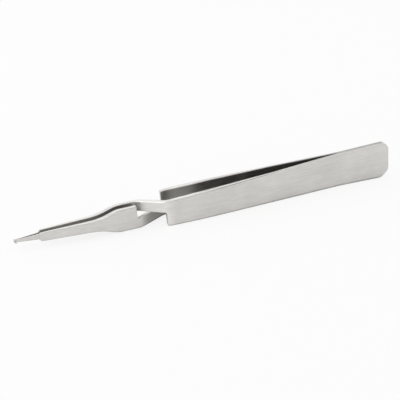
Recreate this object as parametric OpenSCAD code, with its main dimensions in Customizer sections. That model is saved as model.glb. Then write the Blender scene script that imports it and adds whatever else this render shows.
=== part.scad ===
// Self-closing tweezers for small electronic components.
// Two steel strips are welded at the tail and cross over behind the blades, so that
// squeezing the handles opens the tips. Both strips have the same form: the far one is
// the near one turned half round the long axis. Only their feet both stand at the bottom.
// In the strip's own frame x runs from the tips (0) to the tail, y from the near handle
// to the far one, and z across the width. The finished part stands on its long edges.

/* [Lengths] */
// Length from the tips' ends to the tail's end
length = 115; // [108:1:125]
// Length of the tail that is welded
weld_len = 15.5; // [13:0.5:19]
// Distance from the tips' ends to the notched ends of the blades
blade_len = 36; // [34:0.5:40]
// Length of each neck, from the blade's notched end to the handle's
neck_len = 8.3; // [7.5:0.1:10]
// Length of the fine tips, up to the shoulder
tip_len = 7; // [5:0.5:9]
// Length of the shoulder behind the fine tips
shoulder_len = 1; // [0.8:0.1:2]
// Distance from the tips' ends to where the blades reach their full thickness
taper_end = 23.3; // [20:0.1:27]
// Distance from the tips' ends to where the blades begin to widen
flare_start = 21.6; // [19:0.1:22.5]
// Length of the flare's hollow part, before it rounds over to the full width
flare_hollow = 6.6; // [5:0.2:7.6]
// Distance from the tips' ends to where the blades reach their full width
flare_end = 31.4; // [30.5:0.1:34]

/* [Widths] */
// Width at the tail's end
tail_w = 12; // [11:0.2:13.4]
// Width of the handles at their notched ends
handle_w = 8.14; // [7.8:0.02:9]
// Full width of the blades
blade_w = 7.22; // [6.6:0.02:7.4]
// Width of the blades where they begin to widen
blade_waist_w = 3.3; // [3:0.02:4]
// Width of the blades at the shoulder
shoulder_w = 2.76; // [2.4:0.02:2.96]
// Width of the fine tips at the shoulder
tip_root_w = 1.7; // [1.4:0.1:2]
// Width of the fine tips at their ends
tip_w = 0.7; // [0.7:0.1:1.2]
// Size of the cut-off corners of the tail
tail_chamfer = 2.3; // [1:0.1:4]

/* [Thickness] */
// Thickness of each strip in its thin, springy part and at the tail
spring_t = 0.65; // [0.5:0.05:0.9]
// Thickness of each strip at the front of its handle
front_t = 1.5; // [1.1:0.05:1.7]
// Thickness of each blade at its notched end
blade_t = 1.3; // [1:0.01:1.5]
// Thickness of each blade at the shoulder
shoulder_t = 0.6; // [0.45:0.05:0.8]
// Thickness of each fine tip
tip_t = 0.33; // [0.25:0.01:0.45]
// Distance from the tips' ends to where the strips begin to be ground thinner
grind_start = 55; // [52:1:60]
// Distance from the tips' ends to where the strips reach their spring thickness
grind_end = 78; // [70:1:85]

/* [Gaps] */
// Gap between the handles at their widest
handle_gap = 5.1; // [4:0.1:6]
// Gap between the blades at their notched ends
blade_gap = 1.7; // [1.2:0.02:2.4]
// Gap between the blades at the shoulder
shoulder_gap = 1.2; // [0.8:0.02:1.4]
// Gap between the fine tips at the shoulder
tip_root_gap = 0.6; // [0.2:0.05:0.8]
// Gap left between the ends of the closed tips
tip_gap = 0.04; // [0.02:0.01:0.1]
// Height between the two necks where they cross
neck_gap = 0.9; // [0.4:0.1:1.4]

/* [Bends] */
// Radius of the bends at the two ends of each neck
bend_r = 4; // [2.5:0.25:5]
// Distance from the handle's notched end to the corner of its bend
handle_bend = 0.25; // [0:0.05:0.5]
// Distance from the blade's notched end to the corner of its bend
blade_bend = 0.6; // [0.2:0.05:1]
// Half the length over which the front of each handle turns from level to its slope
belly_half = 7.8; // [5:0.1:10]
// Radius of the notches' inner corners
notch_r = 0.5; // [0.2:0.1:0.9]

/* [Feet] */
// Reach of each tip's foot from the middle plane
foot_reach = 1.2; // [0.8:0.05:1.5]
// Thickness of the feet
foot_t = 0.4; // [0.3:0.05:0.6]
// Height of the feet, up from the tips' lower edges
foot_h = 0.35; // [0.25:0.05:0.6]
// Angle by which the near tip's foot is swept back
foot_sweep = 20; // [0:5:35]

/* [Welds] */
// Number of spot welds in the tail
weld_count = 2; // [1:1:2]
// Radius of each spot weld
weld_r = 1.5; // [1:0.1:2]
// Depth of each spot weld in each strip
weld_depth = 0.25; // [0.15:0.05:0.35]
// Distance between the middles of neighbouring spot welds
weld_pitch = 6; // [4.5:0.5:6.5]

/* [Hidden] */
$fn = 48;

// Places along the strip
weld_x = length - weld_len;
handle_x = blade_len + neck_len;
shoulder_x = tip_len + shoulder_len;
blade_corner = blade_len + blade_bend;
handle_corner = handle_x + handle_bend;

// The blade's flare turns hollow about one corner, then round about the next
flare_mid = flare_start + flare_hollow;
flare_from = (flare_start + flare_mid) / 2;
flare_to = (flare_mid + flare_end) / 2;
flare_slope = (blade_w - blade_waist_w) / 2 / (flare_to - flare_from);

// Middle of the strip across the gap: on the far side at the blade, the near side at the handle
tip_mid = (tip_gap + tip_t) / 2;
tip_root_mid = (tip_root_gap + tip_t) / 2;
shoulder_mid = (shoulder_gap + shoulder_t) / 2;
blade_mid = (blade_gap + blade_t) / 2;
handle_mid = (handle_gap + front_t) / 2;
neck_slope = -(blade_mid + handle_mid) / (handle_corner - blade_corner);
bend_half = bend_r * tan(atan(-neck_slope) / 2);

// The handle's outer face is level at the front and runs straight to the weld
belly_x = handle_corner + bend_half;
belly_corner = belly_x + belly_half;
handle_out = handle_gap / 2 + front_t;
handle_slope = (handle_out - spring_t) / (weld_x - belly_corner);

// How far the part is pitched so that its lower long edges lie flat
pitch = atan((tail_w - handle_w) / 2 / (length - handle_x));
// Reach of the cutting shapes beyond the strip
over = 20;
// Distance over which a slope is measured
lean_step = 0.01;

// A straight run from va at a to vb at b, level outside
function run(x, a, b, va, vb) = va + (vb - va) * min(1, max(0, (x - a) / (b - a)));

// A smooth run from va at a to vb at b, level at both ends
function ease(x, a, b, va, vb) =
    let (u = min(1, max(0, (x - a) / (b - a))))
    va + (vb - va) * u * u * (3 - 2 * u);

// Distance gained past a corner at c when the turn is spread evenly over h each way
function past(x, c, h) =
    x <= c - h ? 0
    : x >= c + h ? x - c
    : pow(x - c + h, 2) / (4 * h);

// Half the width of the blade at x: it widens slowly up to the flare, then quickly over it
function blade_half(x) =
    run(x, shoulder_x, flare_start, shoulder_w, blade_waist_w) / 2
    + flare_slope * past(x, flare_from, flare_from - flare_start)
    - flare_slope * past(x, flare_to, flare_end - flare_to);

// Half the width of the strip at x
function half_width(x) =
    x <= tip_len ? run(x, 0, tip_len, tip_w, tip_root_w) / 2
    : x <= shoulder_x ? ease(x, tip_len, shoulder_x, tip_root_w, shoulder_w) / 2
    : x <= blade_len ? blade_half(x)
    : x <= handle_x ? run(x, blade_len, handle_x, blade_w, handle_w) / 2
    : run(x, handle_x, length, handle_w, tail_w) / 2;

// Thickness of the strip at x
function thickness(x) =
    x <= shoulder_x ? ease(x, tip_len, shoulder_x, tip_t, shoulder_t)
    : x <= blade_len ? run(x, shoulder_x, taper_end, shoulder_t, blade_t)
    : x <= belly_x ? run(x, blade_len, belly_x, blade_t, front_t)
    : run(x, grind_start, grind_end, front_t, spring_t);

// Gap from the middle plane to the handle's inner face, which closes at the weld
function bow(x) =
    x >= weld_x ? 0
    : handle_out - thickness(x) - handle_slope * past(x, belly_corner, belly_half);

// Middle of the strip at x, from the fine tip over the blade and the neck to the handle
function middle(x) =
    x <= tip_len ? run(x, 0, tip_len, tip_mid, tip_root_mid)
    : x <= shoulder_x ? ease(x, tip_len, shoulder_x, tip_root_mid, shoulder_mid)
    : x <= belly_x ? run(x, shoulder_x, taper_end, shoulder_mid, blade_mid)
        + neck_slope * (past(x, blade_corner, bend_half) - past(x, handle_corner, bend_half))
    : -(bow(x) + half_across(x));

// How far the strip leans at x: the slope of its middle before the handle
function lean(x) = x > belly_x ? 0 : (middle(x) - middle(x - lean_step)) / lean_step;

// Half the strip's thickness measured straight across at x, where the neck may lean
function half_across(x) = thickness(x) / 2 * sqrt(1 + pow(lean(x), 2));

// Values from a to b in n equal steps, with b left out
function steps(a, b, n) = [for (i = [0:n - 1]) a + (b - a) * i / n];

// Stations along the arm for its plan, close together only where it curves
plan_x = concat(
    steps(0, tip_len, 1),
    steps(tip_len, shoulder_x, 6),
    steps(shoulder_x, taper_end, 1),
    steps(taper_end, blade_corner - bend_half, 1),
    steps(blade_corner - bend_half, blade_corner + bend_half, 8),
    steps(blade_corner + bend_half, handle_corner - bend_half, 1),
    steps(handle_corner - bend_half, belly_x, 8),
    steps(belly_x, grind_start, 6),
    steps(grind_start, grind_end, 12),
    [grind_end, weld_x]);

// Stations along the arm for its outline, seen square to its faces
outline_x = concat(
    [0],
    steps(tip_len, shoulder_x, 6),
    [shoulder_x],
    steps(flare_start, flare_mid, 9),
    steps(flare_mid, flare_end, 6),
    [flare_end, blade_len, handle_x, weld_x]);

// The arm seen along its width: its sprung handle, its two bends and its ground thickness
module arm_plan() {
    polygon(concat(
        [for (x = plan_x) [x, middle(x) + half_across(x)]],
        [for (i = [len(plan_x) - 1:-1:0]) [plan_x[i], middle(plan_x[i]) - half_across(plan_x[i])]]));
}

// The arm seen square to its faces, before the notch
module arm_blank() {
    polygon(concat(
        [for (x = outline_x) [x, half_width(x)]],
        [for (i = [len(outline_x) - 1:-1:0]) [outline_x[i], -half_width(outline_x[i])]]));
}

// The notch under the neck, with round inner corners
module notch() {
    top = neck_gap / 2;
    translate([blade_len, -over]) square([neck_len, over + top - notch_r]);
    translate([blade_len + notch_r, -over]) square([neck_len - 2 * notch_r, over + top]);
    for (x = [blade_len + notch_r, handle_x - notch_r]) translate([x, top - notch_r]) circle(notch_r);
}

// The tail seen square to its faces, with cut-off corners
module tail_blank() {
    end_half = half_width(length) - tail_chamfer;
    cut_x = length - tail_chamfer;
    polygon([
        [weld_x, half_width(weld_x)], [cut_x, half_width(cut_x)], [length, end_half],
        [length, -end_half], [cut_x, -half_width(cut_x)], [weld_x, -half_width(weld_x)]]);
}

// The small foot at the end of the fine tip, turned away from the other tip
module foot(sweep) {
    half = foot_t / 2;
    run_out = (foot_reach - half + half * sin(sweep) - tip_mid) / cos(sweep);
    lead = [run_out * sin(sweep), tip_mid + run_out * cos(sweep)];
    across = [foot_t * cos(sweep), -foot_t * sin(sweep)];
    linear_extrude(foot_h, center = true) {
        polygon([[0, tip_mid], lead, lead + across, [foot_t / cos(sweep), tip_mid]]);
        translate(lead + across / 2) circle(half);
    }
}

// One arm, with its handle on the near side and its blade on the far side. Its foot is at
// the strip's lower edge, or at its upper edge where the strip is to be turned over.
module arm(foot_up) {
    intersection() {
        rotate([90, 0, 0]) linear_extrude(2 * over, center = true) difference() {
            arm_blank();
            notch();
        }
        linear_extrude(2 * over, center = true) arm_plan();
    }
    translate([0, 0, (foot_up ? 1 : -1) * (tip_w - foot_h) / 2]) foot(foot_up ? foot_sweep : 0);
}

// One strip's end, from the middle plane to its outer face on the near side
module tail() {
    difference() {
        rotate([90, 0, 0]) linear_extrude(spring_t) tail_blank();
        at_welds() rotate([90, 0, 0]) cylinder(r = weld_r, h = 2 * weld_depth, center = true);
    }
}

// Places the spot welds along the middle of the tail
module at_welds() {
    first = weld_x + (weld_len - (weld_count - 1) * weld_pitch) / 2;
    for (i = [0:weld_count - 1]) translate([first + i * weld_pitch, 0, 0]) children();
}

// Moves a shape from the strip's frame to the part's: standing on its long edges
module stand() {
    end_half = half_width(length) - tail_chamfer;
    high_x = length * cos(pitch) + end_half * sin(pitch);
    low_x = -tip_w / 2 * sin(pitch);
    low_z = length * sin(pitch) - half_width(length) * cos(pitch);
    translate([-(high_x + low_x) / 2, 0, -low_z]) rotate([0, -pitch, 0]) children();
}

// Near handle, upper neck and far blade, in one strip
module near_arm() {
    color([0.78, 0.78, 0.77]) stand() arm(false);
}

// Far handle, lower neck and near blade, in one strip
module far_arm() {
    color([0.7, 0.71, 0.72]) stand() rotate([180, 0, 0]) arm(true);
}

// Welded end of the near strip
module near_tail() {
    color([0.74, 0.75, 0.76]) stand() tail();
}

// Welded end of the far strip
module far_tail() {
    color([0.66, 0.67, 0.69]) stand() rotate([180, 0, 0]) tail();
}

// The spot welds that join the two strips, sealed between them
module spot_welds() {
    color([0.45, 0.46, 0.5]) stand() at_welds()
        rotate([90, 0, 0]) cylinder(r = weld_r, h = 2 * weld_depth, center = true);
}

near_arm();
far_arm();
near_tail();
far_tail();
spot_welds();
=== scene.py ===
"""Self-closing tweezers, two ground steel strips that cross over behind their blades, and their studio."""

import logging
import math
from collections.abc import Callable, Iterable
from dataclasses import dataclass
from enum import Enum

import bmesh
import bpy
from mathutils import Matrix, Vector


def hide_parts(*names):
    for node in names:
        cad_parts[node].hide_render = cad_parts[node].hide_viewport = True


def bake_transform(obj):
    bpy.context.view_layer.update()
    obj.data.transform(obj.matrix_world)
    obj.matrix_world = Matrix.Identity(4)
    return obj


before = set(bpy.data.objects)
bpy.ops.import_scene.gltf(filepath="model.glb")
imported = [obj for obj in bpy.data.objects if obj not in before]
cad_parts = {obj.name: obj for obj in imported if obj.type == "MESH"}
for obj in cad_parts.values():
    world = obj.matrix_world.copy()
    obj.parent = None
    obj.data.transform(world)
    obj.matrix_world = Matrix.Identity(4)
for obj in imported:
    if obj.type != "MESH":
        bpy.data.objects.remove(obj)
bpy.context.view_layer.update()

MM = 0.001  # one millimetre in metres
TOUCH = 0.001  # how close, in millimetres, counts as being at a place
WHITE = (1.0, 1.0, 1.0, 1.0)
Socket = bpy.types.NodeSocket
log = logging.getLogger("tweezers")


# Helpers for modelling


class Kind(Enum):
    """What an edit-mode selection is made of."""

    VERTS = "VERT"
    EDGES = "EDGE"
    FACES = "FACE"


class Side(Enum):
    """Which handle a strip ends in."""

    NEAR = "near"
    FAR = "far"

    @property
    def arm(self) -> str:
        """The CAD node and body of this side's arm."""
        return f"{self.value}_arm"

    @property
    def tail(self) -> str:
        """The CAD node of this side's welded end."""
        return f"{self.value}_tail"

    @property
    def blade_way(self) -> int:
        """1 where the strip's blade is on the far side of the gap, and -1 where it is on the near side."""
        return 1 if self is Side.NEAR else -1


def deselect_all() -> None:
    """Leaves object mode and deselects every object."""
    if bpy.context.mode != "OBJECT":
        bpy.ops.object.mode_set(mode="OBJECT")
    bpy.ops.object.select_all(action="DESELECT")


def make_active(piece: bpy.types.Object) -> None:
    """Makes one object the only one selected, and the active one.

    Args:
        piece: The object.
    """
    deselect_all()
    piece.select_set(True)
    bpy.context.view_layer.objects.active = piece


def open_mesh(piece: bpy.types.Object) -> None:
    """Opens an object's mesh in edit mode, with nothing selected in it.

    Args:
        piece: The object.
    """
    make_active(piece)
    bpy.ops.object.mode_set(mode="EDIT")
    bpy.ops.mesh.select_all(action="DESELECT")


def close_mesh() -> None:
    """Leaves edit mode."""
    bpy.ops.object.mode_set(mode="OBJECT")


def pick(kind: Kind, test: Callable[..., bool]) -> None:
    """Selects the parts of the open mesh that pass a test, and nothing else.

    Args:
        kind: Whether vertices, edges or faces are tested.
        test: Gets one BMesh vertex, edge or face and says whether it is wanted.
    """
    bpy.ops.mesh.select_mode(type=kind.value)
    bpy.ops.mesh.select_all(action="DESELECT")
    data = bpy.context.edit_object.data
    mesh = bmesh.from_edit_mesh(data)
    parts = {Kind.VERTS: mesh.verts, Kind.EDGES: mesh.edges, Kind.FACES: mesh.faces}[kind]
    for part in [part for part in parts if test(part)]:
        part.select_set(True)
    mesh.select_flush_mode()
    bmesh.update_edit_mesh(data, loop_triangles=False, destructive=False)


def middle_of(part: bmesh.types.BMEdge | bmesh.types.BMFace) -> Vector:
    """The mean of an edge's or a face's corners."""
    return sum((v.co for v in part.verts), Vector()) / len(part.verts)


def lies_at(edge: bmesh.types.BMEdge, axis: str, value: float) -> bool:
    """Whether an edge's two ends lie at a value on an axis, x, y or z."""
    return all(abs(getattr(v.co, axis) - value) < TOUCH for v in edge.verts)


def is_level(edge: bmesh.types.BMEdge, axis: str) -> bool:
    """Whether an edge's two ends lie at one value on an axis, x, y or z."""
    return abs(getattr(edge.verts[0].co, axis) - getattr(edge.verts[1].co, axis)) < TOUCH


def apply_modifier(piece: bpy.types.Object, kind: str, **settings: object) -> None:
    """Adds one modifier to an object, sets it and applies it.

    Args:
        piece: The object.
        kind: Blender's name of the modifier's type.
        **settings: The modifier's own settings.
    """
    make_active(piece)
    modifier = piece.modifiers.new(kind.lower(), kind)
    for name, value in settings.items():
        setattr(modifier, name, value)
    bpy.ops.object.modifier_apply(modifier=modifier.name)


def steps(start: float, stop: float, count: int) -> list[float]:
    """Values from start to stop in equal steps, with stop left out."""
    return [start + (stop - start) * i / count for i in range(count)]


def run(x: float, a: float, b: float, value_a: float, value_b: float) -> float:
    """A straight run from value_a at a to value_b at b, level outside."""
    return value_a + (value_b - value_a) * min(1.0, max(0.0, (x - a) / (b - a)))


def ease(x: float, a: float, b: float, value_a: float, value_b: float) -> float:
    """A smooth run from value_a at a to value_b at b, level at both ends."""
    u = min(1.0, max(0.0, (x - a) / (b - a)))
    return value_a + (value_b - value_a) * u * u * (3 - 2 * u)


def from_aim(azimuth: float, elevation: float) -> Vector:
    """The direction from the aim to an azimuth and an elevation in degrees."""
    a, e = math.radians(azimuth), math.radians(elevation)
    return Vector((math.sin(a) * math.cos(e), -math.cos(a) * math.cos(e), math.sin(e)))


# Helpers for materials


class Sheet:
    """A node tree that nodes are laid out on, joined by short calls."""

    def __init__(self, tree: bpy.types.NodeTree) -> None:
        """Takes the tree and starts laying nodes out at its left."""
        self.tree = tree
        self.column = 0

    def add(self, kind: str, settings: dict[str, object] | None = None, **sockets: object) -> bpy.types.Node:
        """Adds a node, sets its properties and fills its inputs.

        Args:
            kind: The node's type without the ShaderNode in front.
            settings: Properties of the node itself.
            **sockets: Input values or links by socket name, with _ for a space.

        Returns:
            The new node.
        """
        node = self.tree.nodes.new(f"ShaderNode{kind}")
        node.location = (220 * self.column, 0)
        self.column += 1
        for name, value in (settings or {}).items():
            setattr(node, name, value)
        for name, value in sockets.items():
            self.fill(self.socket(node, name), value)
        return node

    @staticmethod
    def socket(node: bpy.types.Node, name: str) -> Socket:
        """An input by its name with _ for a space, or by its number as in_0."""
        key = int(name.removeprefix("in_")) if name.startswith("in_") else name.replace("_", " ")
        return node.inputs[key]

    def fill(self, socket: Socket, value: object) -> None:
        """Links a socket to an output, or sets its own value.

        Args:
            socket: The input.
            value: An output to link it to, or the value it gets.
        """
        if isinstance(value, Socket):
            self.tree.links.new(value, socket)
        else:
            socket.default_value = value

    def maths(self, operation: str, first: object, second: object = 0.0) -> Socket:
        """The result of a Math node, by Blender's name of its operation, on numbers or outputs."""
        return self.add("Math", {"operation": operation}, in_0=first, in_1=second).outputs[0]

    def spread(self, value: object, low: float, high: float) -> Socket:
        """A value between 0 and 1 brought to the range from low to high."""
        return self.add("MapRange", None, Value=value, To_Min=low, To_Max=high).outputs[0]

    def group(self, name: str, **sockets: object) -> Socket:
        """Places one of the library's groups, fills its inputs and gives its output."""
        return self.add("Group", {"node_tree": library[name]}, **sockets).outputs[0]


library: dict[str, bpy.types.NodeTree] = {}


def new_group(name: str, output: str, **inputs: str) -> tuple[Sheet, bpy.types.NodeOutputs, Socket]:
    """Makes an empty shader node group with one output, a number, and keeps it in the library.

    Args:
        name: The group's name.
        output: The output's name.
        **inputs: The kind of each input, Float or Vector, by name, with _ for a space.

    Returns:
        A sheet on the group's tree, the values that come in, and the socket that goes out.
    """
    tree = library[name] = bpy.data.node_groups.new(name, "ShaderNodeTree")
    for socket, kind in inputs.items():
        tree.interface.new_socket(socket.replace("_", " "), in_out="INPUT", socket_type=f"NodeSocket{kind}")
    tree.interface.new_socket(output, in_out="OUTPUT", socket_type="NodeSocketFloat")
    given = tree.nodes.new("NodeGroupInput").outputs
    return Sheet(tree), given, tree.nodes.new("NodeGroupOutput").inputs[output]


def brushed_grain() -> None:
    """Builds the group for ground lines along a strip, from a place in mm, a fineness and a stretch."""
    sheet, given, out = new_group(
        "brushed_grain", "Lines", Place="Vector", Lines_per_mm="Float", Stretch="Float")
    finer_by = 3.1
    along = sheet.maths("DIVIDE", 1.0, given["Stretch"])
    squeeze = sheet.add("CombineXYZ", None, X=along, Y=1.0, Z=1.0).outputs[0]
    place = sheet.add("VectorMath", {"operation": "MULTIPLY"}, in_0=given["Place"], in_1=squeeze).outputs[0]
    per_mm = given["Lines per mm"]
    finer = sheet.maths("MULTIPLY", per_mm, finer_by)
    coarse = sheet.add("TexNoise", None, Vector=place, Scale=per_mm, Detail=4.0, Roughness=0.65).outputs[0]
    fine = sheet.add("TexNoise", None, Vector=place, Scale=finer, Detail=2.0, Roughness=0.5).outputs[0]
    both = sheet.maths("MULTIPLY", sheet.maths("ADD", coarse, fine), 0.5)
    sheet.fill(out, sheet.add("MapRange", None, Value=both, From_Min=0.4, From_Max=0.6).outputs[0])


def handling_tone() -> None:
    """Builds the group for wide, faint differences in tone, from a place and a patch size in mm."""
    sheet, given, out = new_group("handling_tone", "Tone", Place="Vector", Patch="Float")
    scale = sheet.maths("DIVIDE", 1.0, given["Patch"])
    clouds = sheet.add(
        "TexNoise", None, Vector=given["Place"], Scale=scale, Detail=3.0, Roughness=0.55).outputs[0]
    sheet.fill(out, sheet.add("MapRange", None, Value=clouds, From_Min=0.3, From_Max=0.7).outputs[0])


def painted_edge_band() -> None:
    """Builds the group for an uneven band along one edge of a strip, which carries a painted highlight on the
    upper rims and painted shade on the lower ones.
    """
    sheet, given, out = new_group("painted_edge_band", "Band", Toward="Float", Start="Float", Place="Vector")
    ramp = sheet.add(
        "MapRange", {"interpolation_type": "SMOOTHSTEP"},
        Value=given["Toward"], From_Min=given["Start"], From_Max=1.0).outputs[0]
    uneven = sheet.add("TexNoise", None, Vector=given["Place"], Scale=0.9, Detail=3.0).outputs[0]
    sheet.fill(out, sheet.maths("MULTIPLY", ramp, sheet.spread(uneven, 0.35, 1.25)))


# Finishes


@dataclass(frozen=True)
class SatinSteel:
    """Stainless steel with a fine satin ground along the strip.

    Each share multiplies the colour: in the grain and beside it, in the painted highlight on the upper rims,
    and under full painted shade.
    Each start is how far across the strip a band begins, with 1 at the edge.
    """

    name: str
    colour: tuple[float, float, float] = (0.72, 0.704, 0.68)
    shaded_share: float = 0.48
    roughness: float = 0.36
    grain_per_mm: float = 5.0
    grain_stretch: float = 45.0
    grain_depth: float = 0.4
    streaks_per_mm: float = 1.4
    streak_stretch: float = 14.0
    tone_patch: float = 9.0
    # The bands along the rims: a painted highlight along the upper rims, which are smoother too, and painted
    # shade along the lower ones.
    polish_and_highlight_start: float = 0.9
    lower_shade_start: float = 0.85
    lower_rim_shade: float = 1.1
    # How strong the painted shade may get, and how unevenly the coarse lines spread it.
    most_shade: float = 1.1
    shade_least: float = 0.75
    shade_most: float = 1.2
    dark_share: float = 0.86
    light_share: float = 1.1
    highlight_share: float = 1.06
    grain_tone: float = 0.55
    streak_relief: float = 1.2
    relief_mm: float = 0.02
    shift: tuple[float, float, float] = (0.0, 0.0, 0.0)

    def material(self, place: str | None) -> bpy.types.Material:
        """Makes the material.

        Args:
            place: The attribute that holds each point's place in millimetres, or None for Object coordinates.

        Returns:
            The material, with its pattern fixed to the piece.
        """
        made = bpy.data.materials.new(self.name)
        made.use_nodes = True
        made.node_tree.nodes.clear()
        sheet = Sheet(made.node_tree)
        where = self._place(sheet, place)
        lines = sheet.group(
            "brushed_grain", Place=where, Lines_per_mm=self.grain_per_mm, Stretch=self.grain_stretch)
        streaks = sheet.group(
            "brushed_grain", Place=where, Lines_per_mm=self.streaks_per_mm, Stretch=self.streak_stretch)
        tone = sheet.group("handling_tone", Place=where, Patch=self.tone_patch)
        across = sheet.add("Attribute", {"attribute_name": "across"}).outputs["Fac"]
        # Along the upper rims: a painted highlight in the colour, and smoother steel.
        polish_and_highlight = sheet.group("painted_edge_band", Toward=across, Start=self.polish_and_highlight_start, Place=where)
        below = sheet.maths("MULTIPLY", across, -1.0)
        # Painted shade along the lower rims.
        painted_lower_shade = sheet.group("painted_edge_band", Toward=below, Start=self.lower_shade_start, Place=where)
        colour = self._colour(sheet, lines, tone, polish_and_highlight, self._painted_shade(sheet, streaks, painted_lower_shade))
        rough = self._roughness(sheet, lines, tone, polish_and_highlight)
        relief = sheet.maths("ADD", lines, sheet.maths("MULTIPLY", streaks, self.streak_relief))
        bump = sheet.add(
            "Bump", None, Strength=self.grain_depth, Distance=self.relief_mm * MM, Height=relief).outputs[0]
        shader = sheet.add(
            "BsdfPrincipled", None, Base_Color=colour, Metallic=1.0, Roughness=rough, Normal=bump).outputs[0]
        sheet.add("OutputMaterial", None, Surface=shader)
        return made

    def _place(self, sheet: Sheet, place: str | None) -> Socket:
        """The place that the pattern follows, in millimetres.

        Args:
            sheet: The material's sheet.
            place: The attribute's name, or None for Object coordinates.

        Returns:
            The output that holds the place.
        """
        if place is None:
            source = sheet.add("TexCoord").outputs["Object"]
            scale = (1 / MM,) * 3
        else:
            source = sheet.add("Attribute", {"attribute_name": place}).outputs["Vector"]
            scale = (1.0, 1.0, 1.0)
        return sheet.add("Mapping", None, Vector=source, Location=self.shift, Scale=scale).outputs[0]

    def _painted_shade(self, sheet: Sheet, streaks: Socket, painted_lower_shade: Socket) -> Socket:
        """How much painted shade a point gets: the painted shading that the strip notes there and the painted
        shade along the lower edge.

        Args:
            sheet: The material's sheet.
            streaks: The coarse lines, which make the painted shade uneven.
            painted_lower_shade: The band of painted shade along the lower edge.

        Returns:
            The painted shade, up to its most, and below 0 painted light.
        """
        painted_shading = sheet.add("Attribute", {"attribute_name": "painted_shading"}).outputs["Fac"]
        streaky = sheet.maths("MULTIPLY", painted_shading, sheet.spread(streaks, self.shade_least, self.shade_most))
        # Painted shade along the lower rims, added to the strip's own.
        both = sheet.maths("ADD", streaky, sheet.maths("MULTIPLY", painted_lower_shade, self.lower_rim_shade))
        return sheet.maths("MINIMUM", both, self.most_shade)

    def _shade(self, share: float) -> tuple[float, float, float, float]:
        """The steel's colour made darker or lighter by a share."""
        red, green, blue = (min(1.0, share * c) for c in self.colour)
        return red, green, blue, 1.0

    def _colour(self, sheet: Sheet, lines: Socket, tone: Socket, polish_and_highlight: Socket, shaded: Socket) -> Socket:
        """The steel's colour: darker in the grain, with a painted highlight along the upper rims and the
        painted shade and painted light laid on it.

        Args:
            sheet: The material's sheet.
            lines: The fine lines.
            tone: The wide differences.
            polish_and_highlight: The band along the upper rims, where a highlight is painted.
            shaded: The painted shade, below 0 painted light.

        Returns:
            The colour.
        """
        dark, light, bright = (self._shade(s) for s in (self.dark_share, self.light_share, self.highlight_share))
        fine, wide = self.grain_tone, 1 - self.grain_tone
        share = sheet.maths("ADD", sheet.maths("MULTIPLY", lines, fine), sheet.maths("MULTIPLY", tone, wide))
        ground = sheet.add("MixRGB", None, Fac=share, Color1=dark, Color2=light).outputs[0]
        # Painted highlight along the upper rims.
        rubbed_and_highlit = sheet.add("MixRGB", None, Fac=polish_and_highlight, Color1=ground, Color2=bright).outputs[0]
        # Painted shade, and painted light where it is below 0.
        kept = sheet.maths("SUBTRACT", 1.0, sheet.maths("MULTIPLY", shaded, 1.0 - self.shaded_share))
        return sheet.add("VectorMath", {"operation": "SCALE"}, in_0=rubbed_and_highlit, Scale=kept).outputs[0]

    def _roughness(self, sheet: Sheet, lines: Socket, tone: Socket, polish_and_highlight: Socket) -> Socket:
        """The steel's roughness: uneven with the grain and smoother along the upper rims.

        Args:
            sheet: The material's sheet.
            lines: The fine lines.
            tone: The wide differences.
            polish_and_highlight: The band along the upper rims.

        Returns:
            The roughness.
        """
        rougher, smoother, worn_by, rubbed_by = 0.08, 0.05, 0.04, 0.1
        grain = sheet.spread(lines, self.roughness + rougher, self.roughness - smoother)
        worn = sheet.maths("MULTIPLY", tone, worn_by)
        rubbed_and_highlit = sheet.maths("MULTIPLY", polish_and_highlight, rubbed_by)
        return sheet.maths("SUBTRACT", sheet.maths("ADD", grain, worn), rubbed_and_highlit)


# The tweezers


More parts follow.
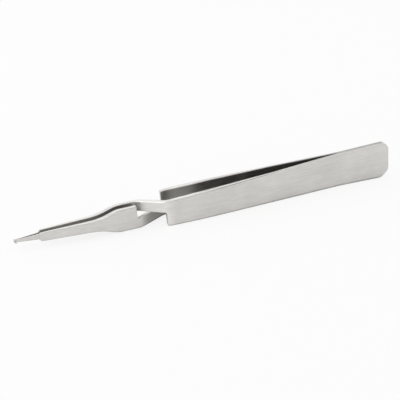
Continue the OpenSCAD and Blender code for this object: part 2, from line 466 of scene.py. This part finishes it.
@dataclass
class StripPair:
    """The two strips, of one form: the far one is the near one turned half round the long axis.

    Sizes are in millimetres. In the strip's own frame x runs from the tips (0) to the tail, y from the near
    handle to the far one, and z across the width, as in the part's source. The painted shading says how much
    painted shade a stretch of a face gets, from 0 on plain steel to 1, and below 0 it gets painted light
    instead.
    """

    length: float = 115.0
    weld_len: float = 15.5
    blade_len: float = 36.0
    neck_len: float = 8.3
    tip_len: float = 7.0
    shoulder_len: float = 1.0
    taper_end: float = 23.3
    flare_start: float = 21.6
    flare_hollow: float = 6.6
    flare_end: float = 31.4
    tail_w: float = 12.0
    handle_w: float = 8.14
    blade_w: float = 7.22
    blade_waist_w: float = 3.3
    shoulder_w: float = 2.76
    tip_root_w: float = 1.7
    tip_w: float = 0.7
    tail_chamfer: float = 2.3
    spring_t: float = 0.65
    front_t: float = 1.5
    blade_t: float = 1.3
    shoulder_t: float = 0.6
    tip_t: float = 0.33
    grind_start: float = 55.0
    grind_end: float = 78.0
    handle_gap: float = 5.1
    blade_gap: float = 1.7
    shoulder_gap: float = 1.2
    tip_root_gap: float = 0.6
    tip_gap: float = 0.04
    neck_gap: float = 0.9
    bend_r: float = 4.0
    handle_bend: float = 0.25
    blade_bend: float = 0.6
    belly_half: float = 7.8
    notch_r: float = 0.5
    foot_reach: float = 1.2
    foot_t: float = 0.4
    foot_h: float = 0.35
    foot_sweep: float = 20.0
    foot_round: float = 0.4
    rim_share: float = 0.17
    inner_rim: float = 0.14
    inner_share: float = 0.22
    tail_round: float = 1.0
    tail_top_chamfer: float = 1.8
    tail_top_round: float = 0.6
    # Painted shade on the blade's inner face, painted light on the neck, painted shade on the neck's other
    # face and in its corner, and faint painted light at the handle's front.
    blade_inner_shade: float = 0.4
    neck_highlight: float = 0.4
    lower_neck_shade: float = 0.7
    corner_shade: float = 0.9
    handle_front_light: float = -0.05

    # Places along the strip

    @property
    def weld_x(self) -> float:
        """Where the weld begins."""
        return self.length - self.weld_len

    @property
    def handle_x(self) -> float:
        """The handle's notched end."""
        return self.blade_len + self.neck_len

    @property
    def shoulder_x(self) -> float:
        """Where the shoulder behind the fine tip ends."""
        return self.tip_len + self.shoulder_len

    @property
    def corners(self) -> tuple[float, float]:
        """The corners of the neck's two bends, at the blade and at the handle."""
        return self.blade_len + self.blade_bend, self.handle_x + self.handle_bend

    @property
    def flare_corners(self) -> tuple[float, float, float]:
        """The flare's hollow corner, the place between its two turns, and its round corner."""
        between = self.flare_start + self.flare_hollow
        return (self.flare_start + between) / 2, between, (between + self.flare_end) / 2

    @property
    def blade_mid(self) -> float:
        """The blade's middle at its notched end, on the far side."""
        return (self.blade_gap + self.blade_t) / 2

    @property
    def shoulder_mid(self) -> float:
        """The blade's middle at the shoulder, on the far side."""
        return (self.shoulder_gap + self.shoulder_t) / 2

    @property
    def neck_slope(self) -> float:
        """How steeply the neck crosses from the far side to the near one."""
        handle_mid = (self.handle_gap + self.front_t) / 2
        return -(self.blade_mid + handle_mid) / (self.corners[1] - self.corners[0])

    @property
    def bend_half(self) -> float:
        """Half the length of each bend."""
        return self.bend_r * math.tan(math.atan(-self.neck_slope) / 2)

    @property
    def belly_x(self) -> float:
        """Where the neck's bend ends and the handle begins."""
        return self.corners[1] + self.bend_half

    @property
    def belly_corner(self) -> float:
        """The corner of the handle's long, easy turn towards the weld."""
        return self.belly_x + self.belly_half

    @property
    def handle_out(self) -> float:
        """The handle's outer face at its front, from the middle plane."""
        return self.handle_gap / 2 + self.front_t

    @property
    def pitch(self) -> float:
        """How far the part is pitched so that its lower long edges lie flat."""
        return math.atan((self.tail_w - self.handle_w) / 2 / (self.length - self.handle_x))

    # The form at a place along the strip

    def half_width(self, x: float) -> float:
        """Half the strip's width at x.

        Args:
            x: The place along the strip.

        Returns:
            Half the width.
        """
        if x <= self.tip_len:
            return run(x, 0, self.tip_len, self.tip_w, self.tip_root_w) / 2
        if x <= self.shoulder_x:
            return ease(x, self.tip_len, self.shoulder_x, self.tip_root_w, self.shoulder_w) / 2
        if x <= self.blade_len:
            return self.blade_half(x)
        if x <= self.handle_x:
            return run(x, self.blade_len, self.handle_x, self.blade_w, self.handle_w) / 2
        return run(x, self.handle_x, self.length, self.handle_w, self.tail_w) / 2

    def blade_half(self, x: float) -> float:
        """Half the blade's width at x: it widens slowly up to the flare, then quickly over it.

        Args:
            x: The place along the strip.

        Returns:
            Half the width.
        """
        hollow, _, round_over = self.flare_corners
        slope = (self.blade_w - self.blade_waist_w) / 2 / (round_over - hollow)
        waist = run(x, self.shoulder_x, self.flare_start, self.shoulder_w, self.blade_waist_w) / 2
        opened = self.past(x, hollow, hollow - self.flare_start)
        closed = self.past(x, round_over, self.flare_end - round_over)
        return waist + slope * (opened - closed)

    def thickness(self, x: float) -> float:
        """The strip's thickness at x.

        Args:
            x: The place along the strip.

        Returns:
            The thickness.
        """
        if x <= self.shoulder_x:
            return ease(x, self.tip_len, self.shoulder_x, self.tip_t, self.shoulder_t)
        if x <= self.blade_len:
            return run(x, self.shoulder_x, self.taper_end, self.shoulder_t, self.blade_t)
        if x <= self.belly_x:
            return run(x, self.blade_len, self.belly_x, self.blade_t, self.front_t)
        return run(x, self.grind_start, self.grind_end, self.front_t, self.spring_t)

    def bow(self, x: float) -> float:
        """The gap from the middle plane to the handle's inner face, which closes at the weld.

        Args:
            x: The place along the strip.

        Returns:
            The gap.
        """
        if x >= self.weld_x:
            return 0.0
        slope = (self.handle_out - self.spring_t) / (self.weld_x - self.belly_corner)
        return self.handle_out - self.thickness(x) - slope * self.past(x, self.belly_corner, self.belly_half)

    @staticmethod
    def past(x: float, corner: float, half: float) -> float:
        """The distance gained past a corner when the turn is spread evenly over half each way.

        Args:
            x: The place.
            corner: The corner's place.
            half: Half the length of the turn.

        Returns:
            The distance, 0 before the turn.
        """
        if x <= corner - half:
            return 0.0
        if x >= corner + half:
            return x - corner
        return (x - corner + half) ** 2 / (4 * half)

    def middle(self, x: float) -> float:
        """The strip's middle at x, from the fine tip over the blade and the neck to the handle.

        Args:
            x: The place along the strip.

        Returns:
            How far across the middle lies, towards the far handle.
        """
        blade_corner, handle_corner = self.corners
        root_mid = (self.tip_root_gap + self.tip_t) / 2
        if x <= self.tip_len:
            return run(x, 0, self.tip_len, (self.tip_gap + self.tip_t) / 2, root_mid)
        if x <= self.shoulder_x:
            return ease(x, self.tip_len, self.shoulder_x, root_mid, self.shoulder_mid)
        if x <= self.belly_x:
            blade = run(x, self.shoulder_x, self.taper_end, self.shoulder_mid, self.blade_mid)
            crossed = self.past(x, blade_corner, self.bend_half) - self.past(x, handle_corner, self.bend_half)
            return blade + self.neck_slope * crossed
        return -(self.bow(x) + self.half_across(x))

    def lean(self, x: float) -> float:
        """How far the strip leans at x: the slope of its middle before the handle."""
        step = 0.01
        return 0.0 if x > self.belly_x else (self.middle(x) - self.middle(x - step)) / step

    def half_across(self, x: float) -> float:
        """Half the strip's thickness measured straight across at x, where the neck may lean."""
        return self.thickness(x) / 2 * math.hypot(1, self.lean(x))

    def rim(self, x: float, inner: bool) -> float:
        """The width of the rounded rim at x, along the inner face or along the outer one.

        Args:
            x: The place along the strip.
            inner: Whether the rim is along the inner face.

        Returns:
            The rim's width.
        """
        if inner:
            return min(self.inner_rim, self.inner_share * self.thickness(x))
        return self.rim_share * self.thickness(x)

    def stations(self) -> list[float]:
        """Lists the places where the bar is cut into rings, close together where the strip curves.

        Returns:
            The places from the foot's back to just before the tail's end, in order.
        """
        blade_corner, handle_corner = self.corners
        bend, arc = self.bend_half, self._arc()
        between = self.flare_corners[1]
        behind_foot = 2.0
        wanted = [
            self.foot_t, *steps(behind_foot, self.tip_len, 3),
            *steps(self.tip_len, self.shoulder_x, 8),
            *steps(self.shoulder_x, self.flare_start, 8),
            *steps(self.flare_start, between, 16),
            *steps(between, self.flare_end, 10),
            *steps(self.flare_end, blade_corner - bend, 2),
            *steps(blade_corner - bend, blade_corner + bend, 12),
            *steps(blade_corner + bend, handle_corner - bend, 4),
            *steps(handle_corner - bend, self.belly_x, 12),
            *steps(self.belly_x, self.weld_x, 36),
            *steps(self.weld_x, self.length - self.tail_chamfer, 5)]
        closest = 0.03
        kept = [self.taper_end, self.blade_len, self.handle_x]
        kept += [self.blade_len + a for a in arc] + [self.handle_x - a for a in arc]
        kept += [x for x in wanted if min(abs(x - k) for k in kept) > closest and not self._by_wall(x)]
        return sorted(kept)

    def _by_wall(self, x: float) -> bool:
        """Whether x is in the full-width steel so near a notch's wall that a ring would crowd its rim."""
        room = 0.4
        return self.blade_len - room < x < self.blade_len or self.handle_x < x < self.handle_x + room

    def _arc(self) -> list[float]:
        """The distances from a notch's wall at which its round inner corner is cut."""
        return [self.notch_r * (1 - math.cos(math.radians(a))) for a in (22.5, 45, 67.5, 90)]

    # Modelling

    def build(self) -> dict[Side, bpy.types.Object]:
        """Models one strip, copies it for the other side and stands both on their long edges.

        Returns:
            The finished objects by side, each with its place in its mesh.
        """
        near = self._bar()
        self._cut_rings(near)
        self._shape_rings(near)
        self._cut_notch(near)
        strips = {Side.NEAR: near, Side.FAR: self._turned_copy(near)}
        for side, strip in strips.items():
            self._cut_tail_corners(strip)
            self._grow_foot(strip, side)
            self._round_rims(strip, side)
            self._note_places(strip, side)
            self._stand(strip)
            strip.name = f"{side.value}_strip"
            strip.data.name = strip.name
        return strips

    def _bar(self) -> bpy.types.Object:
        """Adds a plain bar of the strip's length, 1 mm wide and thick.

        Returns:
            The bar, with its place in its mesh.
        """
        deselect_all()
        bpy.ops.mesh.primitive_cube_add(size=1, location=(self.length / 2, 0, 0), scale=(self.length, 1, 1))
        bar = bpy.context.active_object
        bpy.ops.object.transform_apply(location=True, rotation=True, scale=True)
        return bar

    def _cut_rings(self, bar: bpy.types.Object) -> None:
        """Cuts the bar across at every station.

        Args:
            bar: The bar that becomes the near strip.
        """
        open_mesh(bar)
        bpy.ops.mesh.select_mode(type="FACE")
        for x in self.stations():
            bpy.ops.mesh.select_all(action="SELECT")
            bpy.ops.mesh.bisect(plane_co=(x, 0, 0), plane_no=(1, 0, 0))
        close_mesh()

    def _shape_rings(self, bar: bpy.types.Object) -> None:
        """Gives every ring the strip's width and thickness, and moves it onto the strip's line.

        Args:
            bar: The bar that becomes the near strip.
        """
        open_mesh(bar)
        for x in [0.0, *self.stations(), self.length]:
            pick(Kind.VERTS, lambda v, x=x: abs(v.co.x - x) < TOUCH)
            size = (1, 2 * self.half_across(x), 2 * self.half_width(x))
            bpy.ops.transform.resize(value=size, center_override=(x, 0, 0))
            bpy.ops.transform.translate(value=(0, self.middle(x), 0))
        close_mesh()

    def _cut_notch(self, bar: bpy.types.Object) -> None:
        """Cuts away the strip under the neck and closes the notch, with round inner corners.

        Args:
            bar: The bar that becomes the near strip.
        """
        open_mesh(bar)
        low = self.neck_gap / 2 - self.notch_r
        pick(Kind.FACES, lambda f: self.blade_len < middle_of(f).x < self.handle_x)
        bpy.ops.mesh.bisect(plane_co=(0, 0, low), plane_no=(0, 0, 1))
        pick(Kind.FACES, lambda f: self.blade_len < middle_of(f).x < self.handle_x and middle_of(f).z < low)
        bpy.ops.mesh.delete(type="FACE")
        pick(Kind.EDGES, lambda e: e.is_boundary and lies_at(e, "z", low))
        bpy.ops.mesh.bridge_edge_loops()
        for wall in (self.blade_len, self.handle_x):
            pick(Kind.EDGES, lambda e, x=wall: e.is_boundary and lies_at(e, "x", x))
            bpy.ops.mesh.edge_face_add()
        for x in self.stations():
            depth = min(x - self.blade_len, self.handle_x - x)
            if depth <= 0:
                continue
            rise = math.sqrt(self.notch_r ** 2 - max(0.0, self.notch_r - depth) ** 2)
            pick(Kind.VERTS, lambda v, x=x: abs(v.co.x - x) < TOUCH and abs(v.co.z - low) < TOUCH)
            bpy.ops.transform.translate(value=(0, 0, rise))
        close_mesh()

    def _cut_tail_corners(self, strip: bpy.types.Object) -> None:
        """Cuts the tail's two corners off, the upper one less, and eases the corners that this leaves.

        Args:
            strip: The strip.
        """
        open_mesh(strip)
        clear = 0.2
        corners = ((-1, self.tail_chamfer, self.tail_round), (1, self.tail_top_chamfer, self.tail_top_round))
        for way, cut, eased in corners:
            pick(Kind.EDGES, lambda e, way=way: lies_at(e, "x", self.length) and middle_of(e).z * way > 0
                 and is_level(e, "z"))
            bpy.ops.mesh.bevel(offset=cut, segments=1, affect="EDGES")
            start = self.length - cut - clear
            pick(Kind.EDGES, lambda e, way=way, start=start: middle_of(e).x > start
                 and middle_of(e).z * way > 0 and is_level(e, "x") and is_level(e, "z"))
            bpy.ops.mesh.bevel(offset=eased, segments=3, affect="EDGES")
        close_mesh()

    def _grow_foot(self, strip: bpy.types.Object, side: Side) -> None:
        """Grows the small foot out of the lower edge of the fine tip's end, away from the other tip.

        Args:
            strip: The strip.
            side: Which handle the strip ends in.
        """
        open_mesh(strip)
        top = self.foot_h - self.tip_w / 2
        end = side.blade_way * self.foot_reach
        pick(Kind.FACES, lambda f: middle_of(f).x < self.foot_t)
        bpy.ops.mesh.bisect(plane_co=(0, 0, top), plane_no=(0, 0, 1))
        end_face, facing = 0.01, 0.9
        pick(Kind.FACES, lambda f: end_face < middle_of(f).x < self.foot_t and middle_of(f).z < top
             and f.normal.y * side.blade_way > facing)
        rise = self.foot_reach - self.tip_gap / 2 - self.tip_t
        sweep = math.radians(self.foot_sweep) if side is Side.FAR else 0
        grown = {"value": (rise * math.tan(sweep), side.blade_way * rise, 0)}
        bpy.ops.mesh.extrude_region_move(TRANSFORM_OT_translate=grown)
        bpy.ops.transform.resize(value=(1, 0, 1), center_override=(0, end, 0))
        pick(Kind.EDGES, lambda e: middle_of(e).x < self.foot_reach and lies_at(e, "y", end)
             and is_level(e, "x"))
        bpy.ops.mesh.bevel(offset=self.foot_round * self.foot_t, segments=4, affect="EDGES")
        close_mesh()

    def _round_rims(self, strip: bpy.types.Object, side: Side) -> None:
        """Rounds every rim in step with the strip's thickness there, less on the inner faces.

        Args:
            strip: The strip.
            side: Which handle the strip ends in.
        """
        open_mesh(strip)
        widest = self.rim(self.belly_x, inner=False)
        levels, sharp, smooth = 24, math.radians(30), math.radians(35)
        mesh = bmesh.from_edit_mesh(strip.data)
        wanted: dict[int, set[int]] = {}
        for edge in mesh.edges:
            if edge.calc_face_angle(0.0) > sharp:
                at = middle_of(edge)
                share = self.rim(at.x, self._faces_in(at.x, side.blade_way * at.y)) / widest
                wanted.setdefault(max(1, round(levels * share)), set()).add(edge.index)
        for level, indices in sorted(wanted.items()):
            pick(Kind.EDGES, lambda e, indices=indices: e.index in indices)
            bpy.ops.transform.edge_bevelweight(value=level / levels)
        close_mesh()
        apply_modifier(
            strip, "BEVEL", width=widest, segments=3, limit_method="WEIGHT", use_clamp_overlap=False,
            harden_normals=False)
        make_active(strip)
        bpy.ops.object.shade_smooth_by_angle(angle=smooth)
        apply_modifier(strip, "WEIGHTED_NORMAL", mode="FACE_AREA", weight=60, keep_sharp=True)

    def _faces_in(self, x: float, y: float) -> bool:
        """Whether a place on the near strip's edges is on the face that looks at the other strip.

        Args:
            x: The place along the strip.
            y: The place across its thickness.

        Returns:
            Whether it is on the inner face.
        """
        if x > self.belly_x:
            return y > self.middle(x)
        return self.foot_t < x < self.blade_len and y < self.middle(x)

    def _painted_face_shading(self, x: float, y: float) -> float:
        """The painted shading at a place on the near strip: painted shade, most on the inner faces, and
        painted light on the neck.

        Args:
            x: The place along the strip.
            y: The place across its thickness.

        Returns:
            The painted shade's strength, from 0 on plain steel to 1, and below 0 painted light on the neck.
        """
        depth = (self.middle(x) - y) / self.half_across(x)
        blade, handle, front = self.blade_len, self.handle_x, self.handle_front_light
        # Above 0 is the handle's outer face, which turns into the blade's inner one past the neck: painted
        # shade on the blade's inner face, painted light on the neck.
        if depth > 0:
            strength = ease(x, blade - 1, blade + 2, self.blade_inner_shade, -self.neck_highlight)
            strength += ease(x, handle - 1, handle + 3, 0, self.neck_highlight)
        # Below 0 is the handle's inner face, which turns into the blade's outer one past the neck: painted
        # shade on the neck, deeper in its corner at the handle, faint painted light at the handle's front,
        # and painted shade between the handles behind it.
        elif x < handle + 1:
            strength = ease(x, blade + 0.8, blade + 3, 0, self.lower_neck_shade)
            strength += ease(x, blade + 4, handle - 0.5, 0, self.corner_shade - self.lower_neck_shade)
        elif x < handle + 6:
            strength = ease(x, handle + 1, handle + 4, self.corner_shade, front)
        else:
            strength = ease(x, handle + 8, handle + 13, front, 1)
        return strength * ease(abs(depth), 0.55, 0.95, 0, 1)

    def _painted_rim_shade(self, x: float, y: float, z: float) -> float:
        """The painted shade along a handle's outer upper rim, a grey line along the springy part.

        Args:
            x: The place along the strip.
            y: The place across its thickness.
            z: The height over the strip's middle.

        Returns:
            The painted shade's strength, from 0 to 1.
        """
        begins, full, fades, ends = (self.handle_x + behind for behind in (12, 18, 32, 40))
        rim = self.rim(x, inner=False)
        inward = max(self.half_width(x) - z, self.half_across(x) - (self.middle(x) - y))
        along = ease(x, begins, full, 0, 1) * ease(x, fades, ends, 1, 0)
        return along * ease(inward, rim / 2, rim, 1, 0)

    def _note_places(self, strip: bpy.types.Object, side: Side) -> None:
        """Keeps each point's place on the strip, its place across the width and its painted shading, so that
        grain, bands and painted shading follow the steel when it bends.

        Args:
            strip: The strip.
            side: Which handle the strip ends in.
        """
        data = strip.data
        for name, kind in (("strip_mm", "FLOAT_VECTOR"), ("across", "FLOAT"), ("painted_shading", "FLOAT")):
            data.attributes.new(name, kind, "POINT")
        place, across, painted_shading = (data.attributes[name].data for name in ("strip_mm", "across", "painted_shading"))
        for point in data.vertices:
            x, y, z = point.co.x, side.blade_way * point.co.y, point.co.z
            on_strip = min(self.length, max(0.0, x))
            place[point.index].vector = (x, y - self.middle(on_strip), z)
            across[point.index].value = max(-1.0, min(1.0, z / self.half_width(on_strip)))
            # Painted shade and painted light on the faces, plus painted shade on the handles' upper outer
            # rims.
            painted_shading[point.index].value = self._painted_face_shading(x, y) + self._painted_rim_shade(on_strip, y, z)

    def _turned_copy(self, near: bpy.types.Object) -> bpy.types.Object:
        """Copies the near strip, mesh and all, and turns the copy half round the long axis.

        Args:
            near: The near strip.

        Returns:
            The far strip.
        """
        make_active(near)
        bpy.ops.object.duplicate(linked=False)
        far = bpy.context.active_object
        far.rotation_euler = (math.pi, 0, 0)
        bpy.ops.object.transform_apply(location=False, rotation=True, scale=False)
        return far

    def placing(self) -> Matrix:
        """The move from the strip's frame in millimetres to the row frame in metres.

        Returns:
            The move.
        """
        turn = Matrix.Rotation(-self.pitch, 4, "Y")
        end_half = self.half_width(self.length) - self.tail_chamfer
        high = (turn @ Vector((self.length, 0, -end_half))).x
        low = (turn @ Vector((0, 0, self.tip_w / 2))).x
        under = (turn @ Vector((self.length, 0, -self.half_width(self.length)))).z
        return Matrix.Scale(MM, 4) @ Matrix.Translation((-(high + low) / 2, 0, -under)) @ turn

    def _stand(self, strip: bpy.types.Object) -> None:
        """Stands a strip on its long edges in the row frame, with its place in its mesh.

        Args:
            strip: The strip.
        """
        make_active(strip)
        strip.matrix_world = self.placing()
        bpy.ops.object.transform_apply(location=True, rotation=True, scale=True)

    # Dressing

    def dress(self, strips: dict[Side, bpy.types.Object]) -> None:
        """Gives each strip its steel, with the grain of the far one laid elsewhere.

        Args:
            strips: The finished strips by side.
        """
        shifts = {Side.NEAR: (0.0, 0.0, 0.0), Side.FAR: (61.0, 23.0, 37.0)}
        for side, strip in strips.items():
            steel = SatinSteel(f"{side.value}_satin_steel", shift=shifts[side])
            strip.data.materials.clear()
            strip.data.materials.append(steel.material("strip_mm"))

    def hang(self, strips: dict[Side, bpy.types.Object]) -> None:
        """Lets each strip stand for its arm and its welded end, whose CAD nodes it hides.

        Args:
            strips: The finished strips by side.
        """
        for side, strip in strips.items():
            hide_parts(side.arm, side.tail)
            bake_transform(strip)


@dataclass
class SpotWelds:
    """The welds sealed between the two strips' tails: the CAD node stays, with a weld's own finish."""

    colour: tuple[float, float, float] = (0.42, 0.41, 0.4)
    roughness: float = 0.55

    def dress(self) -> bpy.types.Object:
        """Gives the CAD node its cast, matt weld steel.

        Returns:
            The CAD node's object.
        """
        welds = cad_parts["spot_welds"]
        steel = SatinSteel(
            "weld_steel", colour=self.colour, roughness=self.roughness,
            grain_per_mm=3.0, grain_stretch=1.0, grain_depth=0.3, tone_patch=1.5)
        welds.data.materials.clear()
        welds.data.materials.append(steel.material(None))
        return welds


# The studio


@dataclass(frozen=True)
class Lamp:
    """One soft box: where it stands, in degrees and metres from the aim, how large it is and how bright."""

    name: str
    azimuth: float
    elevation: float
    distance: float
    width: float
    height: float
    radiance: float

    def place(self, aim: Vector) -> None:
        """Adds the lamp, turned to the aim.

        Args:
            aim: The point that the lamp lights.
        """
        back = from_aim(self.azimuth, self.elevation)
        data = bpy.data.lights.new(self.name, "AREA")
        data.shape = "RECTANGLE"
        data.size = self.width
        data.size_y = self.height
        data.energy = self.radiance * math.pi * self.width * self.height
        lamp = bpy.data.objects.new(self.name, data)
        bpy.context.scene.collection.objects.link(lamp)
        lamp.location = aim + back * self.distance
        lamp.rotation_mode = "QUATERNION"
        lamp.rotation_quaternion = back.to_track_quat("Z", "Y")


@dataclass
class Studio:
    """A plain white table under soft light, and the camera at the photograph's angle.

    The floor's size is in metres. Its drop, the camera's distance and aim, and its lens are in millimetres.
    """

    floor_size: float = 30.0
    floor_drop: float = 0.02
    floor_white: float = 0.95
    seen_lift: float = 0.8
    mirrored_lift: float = 0.12
    zenith: float = 0.4
    horizon: float = 0.8
    azimuth: float = -14.941
    elevation: float = 31.093
    roll: float = 3.38
    distance: float = 369.25
    aim_right: float = -2.037
    aim_up: float = -0.161
    aim_height: float = 4.0
    focal: float = 113.069
    sensor: float = 36.0

    def build(self) -> None:
        """Sets up the floor, the light, the camera and the view."""
        self._floor()
        self._world()
        aim = Vector((0, 0, self.aim_height * MM))
        for lamp in (
            Lamp("left_box", azimuth=-95, elevation=50, distance=0.9, width=1.0, height=1.0, radiance=1.28),
            Lamp("right_box", azimuth=80, elevation=45, distance=0.9, width=0.75, height=0.75, radiance=1.0),
            Lamp("back_box", azimuth=182, elevation=34, distance=0.9, width=0.55, height=0.5, radiance=0.75),
        ):
            lamp.place(aim)
        self._camera()
        bpy.context.scene.view_settings.view_transform = "Standard"

    def _floor(self) -> None:
        """Lays the floor just under the tweezers' lower edges."""
        deselect_all()
        bpy.ops.mesh.primitive_plane_add(size=self.floor_size, location=(0, 0, -self.floor_drop * MM))
        floor = bpy.context.active_object
        floor.name = "floor"
        bpy.ops.object.transform_apply(location=True, rotation=True, scale=True)
        floor.data.materials.append(self._floor_paint())

    def _floor_paint(self) -> bpy.types.Material:
        """Matt white that shows its shadow, lifted towards white for the rays that see it.

        Returns:
            The material.
        """
        paint = bpy.data.materials.new("white_table")
        paint.use_nodes = True
        paint.node_tree.nodes.clear()
        sheet = Sheet(paint.node_tree)
        path = sheet.add("LightPath").outputs
        mirrored = sheet.maths("MAXIMUM", path["Is Glossy Ray"], path["Is Transmission Ray"])
        share = sheet.maths(
            "ADD", sheet.maths("MULTIPLY", path["Is Camera Ray"], self.seen_lift),
            sheet.maths("MULTIPLY", mirrored, self.mirrored_lift))
        matt = sheet.add("BsdfDiffuse", None, Color=(self.floor_white,) * 3 + (1.0,)).outputs[0]
        white = sheet.add("Emission", None, Color=WHITE, Strength=1.0).outputs[0]
        mixed = sheet.add("MixShader", None, Fac=share, in_1=matt, in_2=white).outputs[0]
        sheet.add("OutputMaterial", None, Surface=mixed)
        return paint

    def _world(self) -> None:
        """Paints the room: pale at the horizon, greyer overhead."""
        world = bpy.data.worlds.new("room")
        world.use_nodes = True
        world.node_tree.nodes.clear()
        sheet = Sheet(world.node_tree)
        direction = sheet.add("TexCoord").outputs["Generated"]
        height = sheet.add("SeparateXYZ", None, Vector=direction).outputs["Z"]
        level = sheet.add(
            "MapRange", {"interpolation_type": "SMOOTHSTEP"},
            Value=height, From_Min=0.1, From_Max=0.9, To_Min=self.horizon, To_Max=self.zenith).outputs[0]
        room = sheet.add("Background", None, Color=WHITE, Strength=level).outputs[0]
        sheet.add("OutputWorld", None, Surface=room)
        bpy.context.scene.world = world

    def _camera(self) -> None:
        """Sets the camera to the photograph's angle, rolled a little as the photograph is."""
        a, r = math.radians(self.azimuth), math.radians(self.roll)
        back = from_aim(self.azimuth, self.elevation)
        level = Vector((math.cos(a), math.sin(a), 0))
        upright = back.cross(level)
        right = math.cos(r) * level - math.sin(r) * upright
        up = math.sin(r) * level + math.cos(r) * upright
        aim = Vector((0, 0, self.aim_height)) + self.aim_right * right + self.aim_up * up
        data = bpy.data.cameras.new("camera")
        data.lens = self.focal
        data.sensor_width = self.sensor
        data.clip_start = 0.01
        data.clip_end = 20
        camera = bpy.data.objects.new("camera", data)
        bpy.context.scene.collection.objects.link(camera)
        turned = Matrix((right, up, back)).transposed().to_4x4()
        camera.matrix_world = Matrix.Translation((aim + back * self.distance) * MM) @ turned
        bpy.context.scene.camera = camera


# The whole


def report(pieces: Iterable[bpy.types.Object]) -> None:
    """Logs what each piece came to."""
    for piece in pieces:
        log.info("%s: %d points, %d faces", piece.name, len(piece.data.vertices), len(piece.data.polygons))


def main() -> None:
    """Builds the tweezers and the studio in order."""
    logging.basicConfig(level=logging.INFO, format="%(message)s")
    for build_group in (brushed_grain, handling_tone, painted_edge_band):
        build_group()
    pair = StripPair()
    strips = pair.build()
    pair.dress(strips)
    pair.hang(strips)
    report(strips.values())
    report([SpotWelds().dress()])
    Studio().build()


if __name__ == "__main__":
    main()
